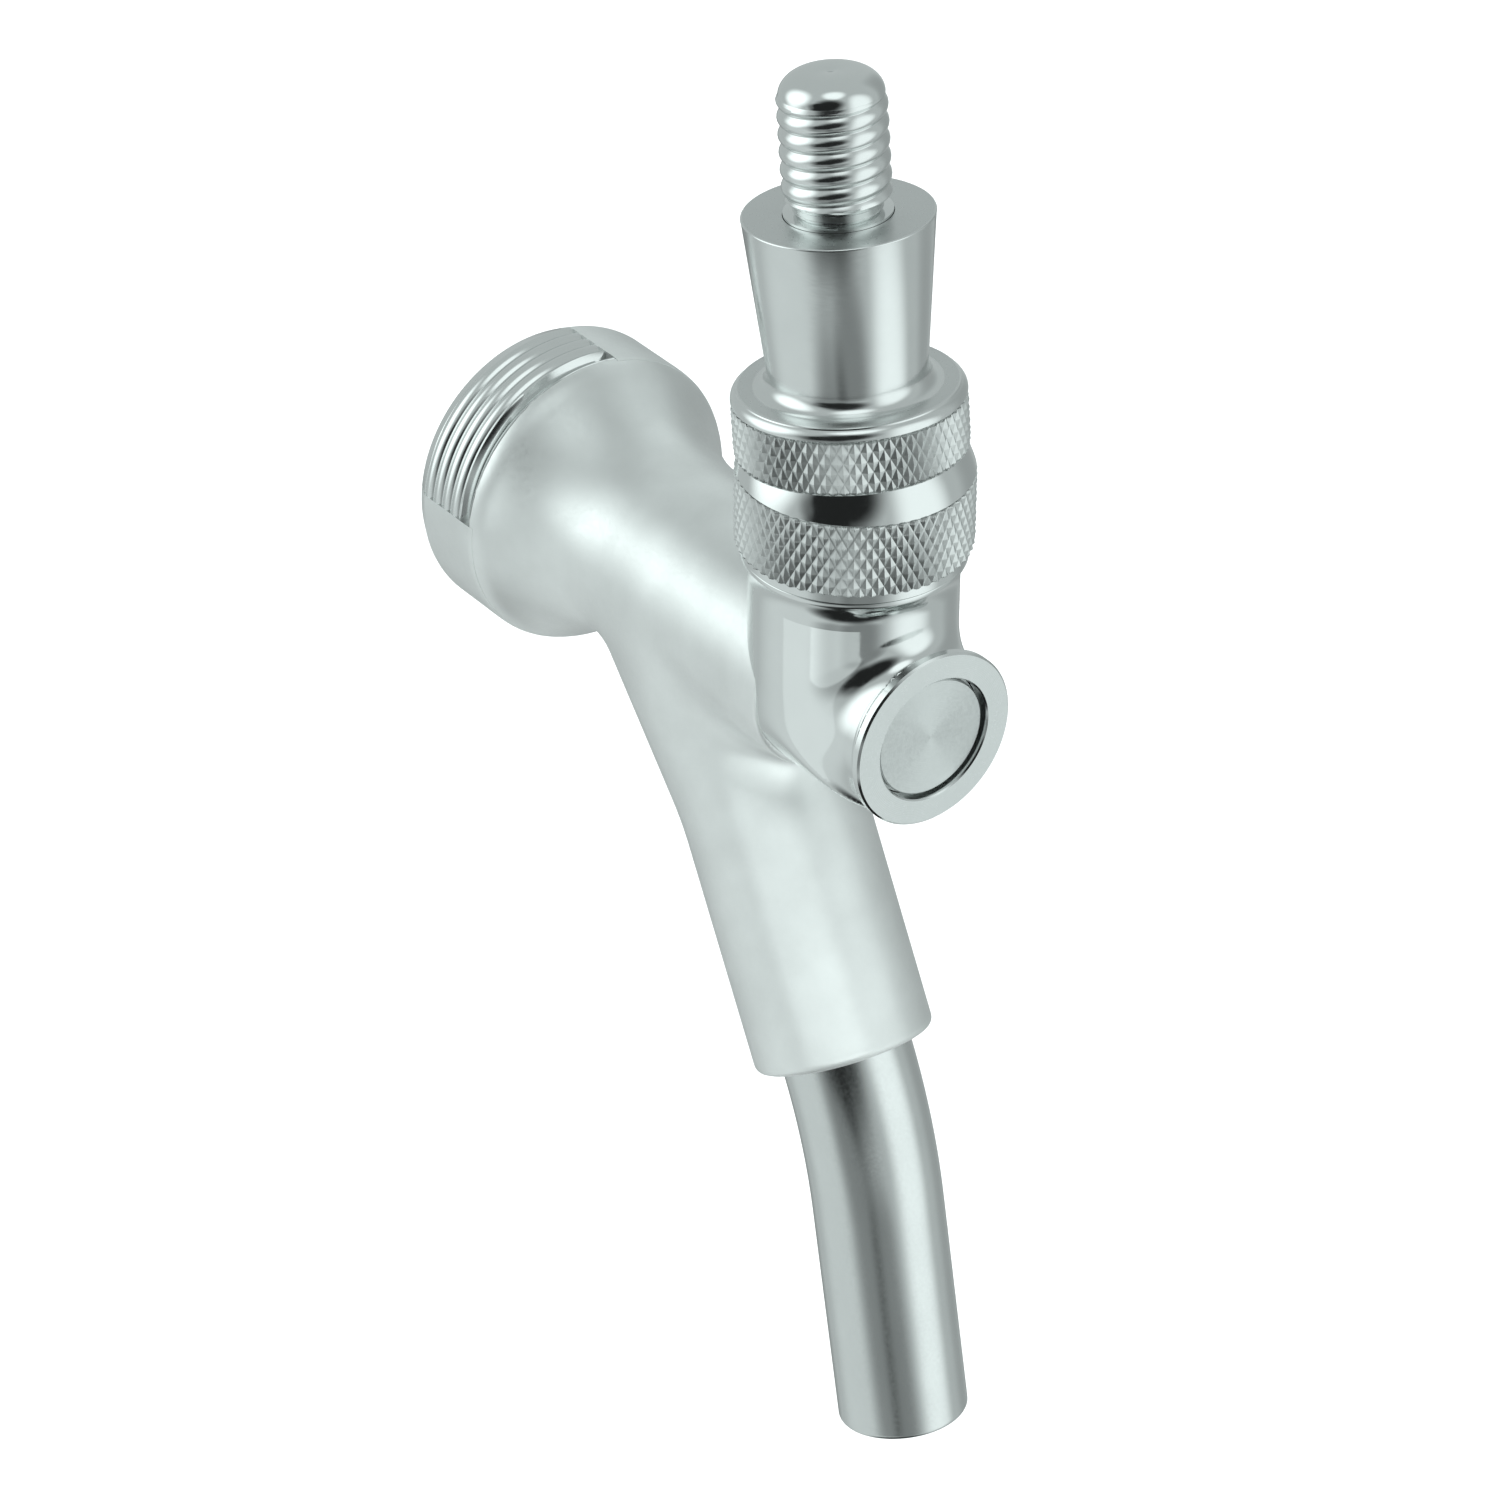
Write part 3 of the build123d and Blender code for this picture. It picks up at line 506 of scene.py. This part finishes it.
def casting_outside(p):
    """Barrel, cove and head blended with the outlet; the blend is widest in front of the cove."""
    r = np.hypot(p[..., 0], p[..., 2])
    y = p[..., 1]
    slope = np.clip((y - COVE_START) / COVE_RADIUS, 0, 0.72)
    barrel = (r - head_radius(y)) * np.sqrt(1 - slope**2)
    barrel = smooth_max(barrel, 1.8 - y, 0.5)
    outlet = outlet_line(p) - OUTLET_RADIUS
    ahead = np.clip((27.0 - y) / 9.0, 0, 1)
    return smooth_min(barrel, outlet, 1.4 + 3.8 * ahead * ahead * (3 - 2 * ahead))


def casting(p):
    """The satin casting, cut off at the outlet's end and in front of the coupling thread."""
    d = smooth_max(casting_outside(p), (p - outlet_end) @ low_way, 0.9)
    d = np.maximum(d, p[..., 1] - CASTING_END)
    return np.maximum(d, -passages(p))


def housing(p):
    """The polished housing: a column with a round underside, and the boss in front."""
    column = cylinder_distance(p, (0, 0, 0), (0, 0, 1), COLUMN_RADIUS, -12.0, 13.0, 0.1)
    across, drop = np.abs(p[..., 0]), np.minimum(p[..., 2] - 1.3, 0)
    column = smooth_max(column, np.hypot(across, drop) - UNDERSIDE_RADIUS, 0.5)
    boss = cylinder_distance(p, (0, 0, 0), (0, -1, 0), BOSS_RADIUS, 0, 10.4)
    d = smooth_min(column, boss, 2.3)
    return np.maximum(d, -passages(p))


def solid(name, field, low, high, step, material):
    """A piece of the body from a distance function, meshed in a box with cells of one step."""
    points, quads, normals = surface_net(field, low, high, step)
    return make_object(name, points + VALVE, quads.tolist(), "faucet", material, normals=normals)


body_casting = solid("body_casting", casting, (-15.3, -11.0, -48.0), (15.3, 41.0, 16.0), 0.42, cast_steel)
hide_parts("body")
body_housing = solid("body_housing", housing, (-10.6, -12.0, -10.0), (10.6, 10.6, 14.5), 0.33, polished)

# ---- turned parts of the body -------------------------------------------------------------------
SHANK = basis(VALVE, (0, 1, 0))
FRONT = basis(VALVE, (0, -1, 0))
UPRIGHT = basis(VALVE, (0, 0, 1))
head = [(7.6, 30.0), (7.6, 46.2), (11.0, 46.2), (11.0, 48.62), (11.1, 48.7), (13.25, 48.7),
        (13.32, 48.66), (13.35, 48.4), (13.35, 41.0), (13.1, 40.85), (13.1, 39.95), (13.2, 39.9),
        (14.0, 39.9), (14.26, 39.82), (14.283, 39.72), (14.1, 39.6), (9.5, 39.2), (9.5, 30.0)]
body_head = lathe("body_head", head, SHANK, "faucet", polished)


COUPLING = 14.2875                 # crest radius of the coupling thread
THREAD_LOW, CHAMFER_LOW = 40.85, 46.9


def head_envelope(h):
    """The coupling thread's run-out in front and its chamfer at the rear face."""
    if h > CHAMFER_LOW:
        return COUPLING - (h - CHAMFER_LOW) * (COUPLING - 13.42) / 1.8
    return min(COUPLING, 13.45 + (h - THREAD_LOW) * 1.6)


land = [(12.4, 39.2), (14.2, 39.2), (14.28, 39.5), (14.31, 39.9), (14.32, 40.4), (14.32, 46.7)]
land += [(14.29, 46.9), (14.22, 47.15), (13.52, 48.55), (13.42, 48.65), (13.32, 48.69), (12.4, 48.69)]
LAND_PLACE = (VALVE, *np.eye(3)[[0, 2, 1]])         # angles from +X up towards +Z
LAND_WIDTH = 87
lands = []
for name, turn in (("body_land_left", 173), ("body_land_right", -7)):
    sector = lathe(name, land, LAND_PLACE, "faucet", cast_steel, steps=64, sharp=50,
                   span=(turn, turn + LAND_WIDTH))
    lands.append(sector)
body_thread = thread("body_thread", COUPLING, INCH / 18, THREAD_LOW, 48.68, head_envelope, 0.26, SHANK,
                     "faucet", threaded, bore=12.9)

flange = [(5.9, 10.0), (5.9, 11.78), (6.02, 11.9), (8.22, 11.9), (8.4, 11.72), (8.4, 11.1), (8.25, 11.0),
          (7.0, 11.0), (6.9, 10.9), (6.9, 10.45), (7.0, 10.35), (7.52, 10.35), (7.62, 10.25), (7.62, 10.0),
          (7.5, 9.6), (6.1, 9.6)]
body_flange = lathe("body_flange", flange, FRONT, "faucet", polished, sharp=25, faced=faced)

lip = [(9.2, 10.9), (9.365, 10.9)] + arc((13.365, 11.4), 4.0, 180, 147, 16)
lip += [(10.06, 13.7), (10.06, 13.98)] + arc((9.96, 14.0), 0.1, 0, 90, 4)
lip += [(8.95, 14.1), (8.95, 20.4), (8.85, 20.5), (7.4, 20.5), (7.4, 10.9)]
body_lip = lathe("body_lip", lip, UPRIGHT, "faucet", polished, sharp=35)

OUTLET = basis(VALVE + outlet_end, low_way)
rim = [(6.21, -3.0), (6.21, -0.05), (6.3, 0.02), (7.75, 0.02), (7.9, -0.1), (7.9, -3.0)]
body_rim = lathe("body_rim", rim, OUTLET, "faucet", cast_steel)

# ---- spout --------------------------------------------------------------------------------------
SPOUT_RADIUS, SPOUT_BORE = 6.16, 4.75
SPOUT_BEND, BEND_STEPS, TUBE_STEPS = 50, 24, 160
SPOUT_SOCKET = 14.0                # length of tube inside the outlet
SPOUT_LEAD, SPOUT_TAIL = 0.9, 22.4  # straight runs before and after the bend
RIM_LENGTH, RIM_STEPS = 0.6, 8     # end of the tube kept for the rounded rim
END_ANGLE = radians(78.2)
end_way = np.array([0, -cos(END_ANGLE), -sin(END_ANGLE)])
spout_tangent = SPOUT_BEND * tan((END_ANGLE - LOW_ANGLE) / 2)
spout_corner = outlet_end + low_way * (SPOUT_LEAD + spout_tangent)
spout_end = spout_corner + end_way * (spout_tangent + SPOUT_TAIL)


def spout_path():
    """Points and directions down the spout's centre line."""
    start = outlet_end - low_way * SPOUT_SOCKET
    line = [(start, low_way), (outlet_end + low_way * SPOUT_LEAD, low_way)]
    centre = outlet_end + low_way * SPOUT_LEAD + np.array([0, -low_way[2], low_way[1]]) * SPOUT_BEND
    for i in range(1, BEND_STEPS + 1):
        a = LOW_ANGLE + (END_ANGLE - LOW_ANGLE) * i / BEND_STEPS
        way = np.array([0, -cos(a), -sin(a)])
        line.append((centre - np.array([0, -way[2], way[1]]) * SPOUT_BEND, way))
    line.append((spout_end - end_way * RIM_LENGTH, end_way))
    return line


def tube(name, path, outer, inner, edge, body, material):
    """A tube swept down a path, its rim rounded outside and inside."""
    rings, faces = [], []
    last, way = path[-1]
    rows = [(p, w, outer) for p, w in path]
    bends = [pi / 2 * i / RIM_STEPS for i in range(1, RIM_STEPS + 1)]
    base = RIM_LENGTH - edge
    rows += [(last + way * (base + edge * sin(t)), way, outer - edge + edge * cos(t)) for t in bends]
    rows += [(last + way * (base + edge * cos(t)), way, inner + edge - edge * sin(t)) for t in bends]
    rows += [(p, w, inner) for p, w in reversed(path)]
    turns = np.linspace(0, 2 * pi, TUBE_STEPS, endpoint=False)
    for centre, way, r in rows:
        o, u, v, w = basis(VALVE + centre, way)
        rings.append(o + r * (np.outer(np.cos(turns), u) + np.outer(np.sin(turns), v)))
    for i in range(len(rings)):
        k = (i + 1) % len(rings)
        for j in range(TUBE_STEPS):
            n = (j + 1) % TUBE_STEPS
            a, b = i * TUBE_STEPS, k * TUBE_STEPS
            faces.append((a + j, a + n, b + n, b + j))
    obj = make_object(name, np.concatenate(rings), faces, body, material, sharp=40)
    clean(obj, 1e-7, 1e-7)
    return obj


spout = tube("spout", spout_path(), SPOUT_RADIUS, SPOUT_BORE, 0.5, "faucet", tube_steel)
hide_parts("spout_tube")

# ---- front disc ---------------------------------------------------------------------------------
disc = [(0, 11.38)] + [(r, 11.38) for r in (1.0, 2.5, 4.0)] + [(5.5, 11.38), (5.62, 11.28), (5.62, 10.4),
        (5.85, 10.4), (5.85, 9.16), (4.83, 9.15), (4.83, 8.0), (5.85, 8.0), (5.85, 6.7), (0, 6.7)]
plug = lathe("front_disc", disc, FRONT, "faucet", disc_steel)
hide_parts("front_plug")

# ---- bonnet -------------------------------------------------------------------------------------
DOME, MOUTH = 11.0, 7.0            # radii of the domed top and of its opening
mouth_angle = atan2(sqrt(DOME**2 - MOUTH**2), MOUTH)
low_angle = asin((22.2 - PIVOT_Z) / DOME)
bonnet_profile = [(9.0, 14.16), (10.08, 14.16), (10.16, 14.22), (10.16, 14.9), (10.36, 15.0), (10.36, 22.1)]
bonnet_profile += arc((0, PIVOT_Z), DOME, np.degrees(low_angle), np.degrees(mouth_angle), 24)
bonnet_profile += [(6.9, 27.4), (5.4, 22.65), (7.45, 22.65), (7.45, 21.7), (9.0, 21.7)]
bonnet_shell = lathe("bonnet_shell", bonnet_profile, UPRIGHT, "faucet", polished)
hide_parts("bonnet")
bonnet_knurl = knurl("bonnet_knurl", 10.62, 15.0, 22.16, 10.2, UPRIGHT, "faucet", knurled)

# ---- lever --------------------------------------------------------------------------------------
LEVER = basis(VALVE + np.array([0, 0, PIVOT_Z]), (0, sin(LEAN), cos(LEAN)))
BALL, NECK, FINGER = 6.35, 3.6, 2.2
STUD, STUD_PITCH = 4.7625, INCH / 16
stem = arc((0, -PIVOT_Z), 2.4, -90, 51.3, 14)
stem += [(1.5, -15.5), (FINGER, -12.0)]
ball_low = np.degrees(-asin(sqrt(BALL**2 - FINGER**2) / BALL))
ball_high = np.degrees(asin(sqrt(BALL**2 - NECK**2) / BALL))
stem += arc((0, 0), BALL, ball_low, ball_high, 30)
stem += [(NECK, 9.6), (STUD - 0.05, 10.8), (STUD, 10.9), (STUD, 27.0), (3.92, 27.3), (3.92, 28.1),
         (3.92, 29.0), (0, 29.0)]
lever_stem = lathe("lever_stem", stem, LEVER, "lever", polished)
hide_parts("lever")


def stud_envelope(h):
    """The stud's run-out above the collar and its rounded end."""
    if h > 37.3:
        return STUD - (h - 37.3) * 0.55
    return min(STUD, 3.9 + (h - 27.8) * 1.1)


nose = [(0, 39.5), (0.25, 39.5), (0.5, 39.6), (1.7, 39.6)]
nose += [(1.9 + 2.68 * sin(t), 37.5 + 2.1 * cos(t)) for t in np.radians(np.linspace(6, 84, 14))]
nose += [(4.3, 37.4), (3.9, 37.2), (0, 37.2)]
lever_nose = lathe("lever_nose", nose, LEVER, "lever", polished)
lever_thread = thread("lever_thread", STUD, STUD_PITCH, 27.9, 38.1, stud_envelope, 0.38, LEVER,
                      "lever", threaded)

# ---- lever collar -------------------------------------------------------------------------------
CUP = 11.2                         # hollow that clears the bonnet's dome
COLLAR_FOOT, COLLAR_BORE = 4.84, 4.8125
cup_low = np.degrees(asin(COLLAR_FOOT / CUP))
cup_high = np.degrees(asin(sqrt(CUP**2 - COLLAR_BORE**2) / CUP))
collar = arc((0, 0), CUP, cup_high, cup_low, 24)
collar += [(10.15, COLLAR_FOOT), (10.22, 4.9), (10.05, 5.0), (10.05, 9.75), (10.2, 9.8)]
collar += arc((9.35, 9.95), 0.97, 0, 62, 10) + [(9.75, 10.92), (9.6, 11.0), (8.3, 11.02)]
collar += arc((8.3, 12.32), 1.3, 270, 186, 14)
collar += [(7.0, 12.5), (8.36, 26.55), (8.39, 26.62)]
collar += arc((8.24, 26.6), 0.15, 0, 90, 4) + [(COLLAR_BORE, 26.75)]
collar_body = lathe("collar_body", collar, LEVER, "lever", turned, sharp=28, faced=faced)
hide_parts("lever_collar")
collar_knurl = knurl("collar_knurl", 10.36, 4.92, 9.82, 9.95, LEVER, "lever", knurled)

# ---- the CAD pieces that stay -------------------------------------------------------------------
finishes = {
    "coupling_washer": washer, "bonnet_washer": washer, "seat_insert": seat, "friction_ring": seat,
    "ball_washer": seat, "shaft": polished, "seal_cup": polished, "seal_nut": polished,
}
for name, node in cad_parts.items():
    finish = rubber if "o_ring" in name or name == "valve_seal" else finishes.get(name)
    if finish is not None:
        for holder in node.material_slots:
            holder.material = finish

# ---- floor, light and camera --------------------------------------------------------------------
FLOOR_Z, FLOOR_HALF = -0.30, 6     # height and half width, in metres
floor_material = bpy.data.materials.new("floor")
floor_material.use_nodes = True
shade = floor_material.node_tree.nodes["Principled BSDF"]
shade.inputs["Roughness"].default_value = 0.9
speck = floor_material.node_tree.nodes.new("ShaderNodeTexNoise")
speck.inputs["Scale"].default_value = 6.0
ramp = floor_material.node_tree.nodes.new("ShaderNodeValToRGB")
ramp.color_ramp.elements[0].color = (0.93, 0.93, 0.93, 1)
ramp.color_ramp.elements[1].color = (0.95, 0.95, 0.95, 1)
floor_material.node_tree.links.new(speck.outputs["Fac"], ramp.inputs["Fac"])
floor_material.node_tree.links.new(ramp.outputs["Color"], shade.inputs["Base Color"])
floor_mesh = bpy.data.meshes.new("floor")
corners = [(x * FLOOR_HALF, y * FLOOR_HALF, FLOOR_Z) for x, y in ((-1, -1), (1, -1), (1, 1), (-1, 1))]
floor_mesh.from_pydata(corners, [], [(0, 1, 2, 3)])
floor_mesh.materials.append(floor_material)
floor = bpy.data.objects.new("floor", floor_mesh)
bpy.context.scene.collection.objects.link(floor)
floor.visible_glossy = False

world = bpy.data.worlds.new("studio")
bpy.context.scene.world = world
world.use_nodes = True
TINT = (0.925, 1.0, 0.995)         # the photo's cool cast, on the object's light only
LEAST_LIGHT = 0.02


def studio(base, lobes):
    """The light round the object: an even grey with soft bright and dark lobes, each given as azimuth,
    elevation, the angles at which it starts and ends fading, strength, and stretch up and down.
    Azimuth 0 is the side the faucet's front faces (-Y) and 90 is +X."""
    nodes, links = world.node_tree.nodes, world.node_tree.links
    place = nodes.new("ShaderNodeTexCoord")
    total = None
    for azimuth, elevation, inner, outer, strength, tall in lobes:
        a, e = radians(azimuth), radians(elevation)
        squeeze = nodes.new("ShaderNodeVectorMath")
        squeeze.operation = "MULTIPLY"
        squeeze.inputs[1].default_value = (1, 1, 1 / tall)
        links.new(place.outputs["Generated"], squeeze.inputs[0])
        unit = nodes.new("ShaderNodeVectorMath")
        unit.operation = "NORMALIZE"
        links.new(squeeze.outputs[0], unit.inputs[0])
        dot = nodes.new("ShaderNodeVectorMath")
        dot.operation = "DOT_PRODUCT"
        aim = Vector((sin(a) * cos(e), -cos(a) * cos(e), sin(e) / tall)).normalized()
        dot.inputs[1].default_value = aim
        links.new(unit.outputs[0], dot.inputs[0])
        edge = nodes.new("ShaderNodeMapRange")
        edge.interpolation_type = "SMOOTHSTEP"
        edge.inputs["From Min"].default_value = cos(radians(outer))
        edge.inputs["From Max"].default_value = cos(radians(inner))
        edge.inputs["To Max"].default_value = strength
        links.new(dot.outputs["Value"], edge.inputs["Value"])
        add = nodes.new("ShaderNodeMath")
        add.operation = "ADD"
        add.inputs[1].default_value = base
        if total is not None:
            links.new(total.outputs[0], add.inputs[1])
        links.new(edge.outputs["Result"], add.inputs[0])
        total = add
    least = nodes.new("ShaderNodeMath")
    least.operation = "MAXIMUM"
    least.inputs[1].default_value = LEAST_LIGHT
    links.new(total.outputs[0], least.inputs[0])
    background = nodes["Background"]
    background.inputs["Color"].default_value = (*TINT, 1)
    links.new(least.outputs[0], background.inputs["Strength"])


studio(0.56, [
    (-128, 23, 8, 36, 1.05, 1.2),
    (-112, -34, 14, 42, 0.20, 1.0),
    (27, 2, 9, 34, 0.62, 2.6),
    (150, -35, 6, 28, -0.24, 1.0),
    (-44, 26, 14, 38, -0.55, 1.0),
    (-72, 14, 8, 22, -0.40, 1.0),
    (-62, -14, 10, 30, -0.28, 1.0),
    (-28, -26, 8, 24, -0.30, 1.0),
    (-40, -70, 18, 32, -0.55, 1.0),
    (100, -10, 5, 30, -0.16, 2.5),
    (-37, 74, 8, 22, 0.7, 1.0),
])


def light(name, spot, aim, size, power, pieces, glossy=False):
    """A soft light on some pieces only, unseen by the camera, and in reflections only if glossy."""
    lamp = bpy.data.lights.new(name, "AREA")
    lamp.shape = "ELLIPSE" if glossy else "RECTANGLE"
    lamp.size, lamp.size_y = size
    lamp.energy = power
    lamp.color = (1, 1, 1) if floor in pieces else TINT
    obj = bpy.data.objects.new(name, lamp)
    obj.location = spot
    obj.rotation_euler = (Vector(aim) - Vector(spot)).to_track_quat("-Z", "Y").to_euler()
    obj.visible_glossy = glossy
    obj.visible_camera = False
    bpy.context.scene.collection.objects.link(obj)
    lit = bpy.data.collections.new(name)
    for piece in pieces:
        lit.objects.link(piece)
    obj.light_linking.receiver_collection = lit


casting_pieces = [body_casting, body_rim] + lands
light("overhead", (0.2, 0.4, 1.8), (0.2, 0.4, 0), (3.0, 3.0), 60, [floor])
light("front_fill", (-0.62, -0.62, 0.86), (0, -0.03, 0), (0.5, 0.5), 1.9, casting_pieces)
light("low_front", (-0.10, -0.30, -0.06), (0, -0.08, -0.03), (0.12, 0.12), 0.55, casting_pieces)
for name, spot, aim, size, power in (
    ("casting_front", (-0.138, -0.202, -0.002), (0, -0.06, -0.03), (0.36, 0.2), 0.205),
    ("casting_back", (0.254, 0.41, 0.318), (0, -0.03, 0), (0.8, 0.6), 0.45),
    ("casting_left", (-0.46, 0.20, 0.188), (0, -0.035, 0), (0.5, 0.28), 0.33),
    ("casting_right", (0.444, 0.02, 0.40), (0, -0.02, 0), (0.5, 0.5), 0.26),
):
    light(name, spot, aim, size, power, casting_pieces, glossy=True)
for name, spot, size, power in (
    ("housing_front", (-0.213, -0.188, -0.149), (0.25, 0.24), 0.035),
    ("housing_side", (-0.245, -0.119, -0.149), (0.47, 0.3), 0.049),
):
    light(name, spot, (0, -0.049, 0.01), size, power, [body_housing], glossy=True)

CAMERA_SPOT = (-264.7, -389.8, 272.9)
azimuth, elevation, roll = radians(-36.615), radians(32.996), radians(0.326)
back = Vector((sin(azimuth) * cos(elevation), -cos(azimuth) * cos(elevation), sin(elevation)))
right = Vector((cos(azimuth), sin(azimuth), 0))
up = back.cross(right)
right, up = right * cos(roll) + up * sin(roll), up * cos(roll) - right * sin(roll)
turn = Matrix((right, up, back)).transposed()
camera = bpy.data.objects.new("camera", bpy.data.cameras.new("camera"))
camera.data.lens = 137.95
camera.data.sensor_width = 36
camera.data.clip_start = 0.01
camera.matrix_world = Matrix.Translation(Vector(CAMERA_SPOT) * MM) @ turn.to_4x4()
bpy.context.scene.collection.objects.link(camera)
bpy.context.scene.camera = camera
bpy.context.scene.view_settings.view_transform = "Standard"
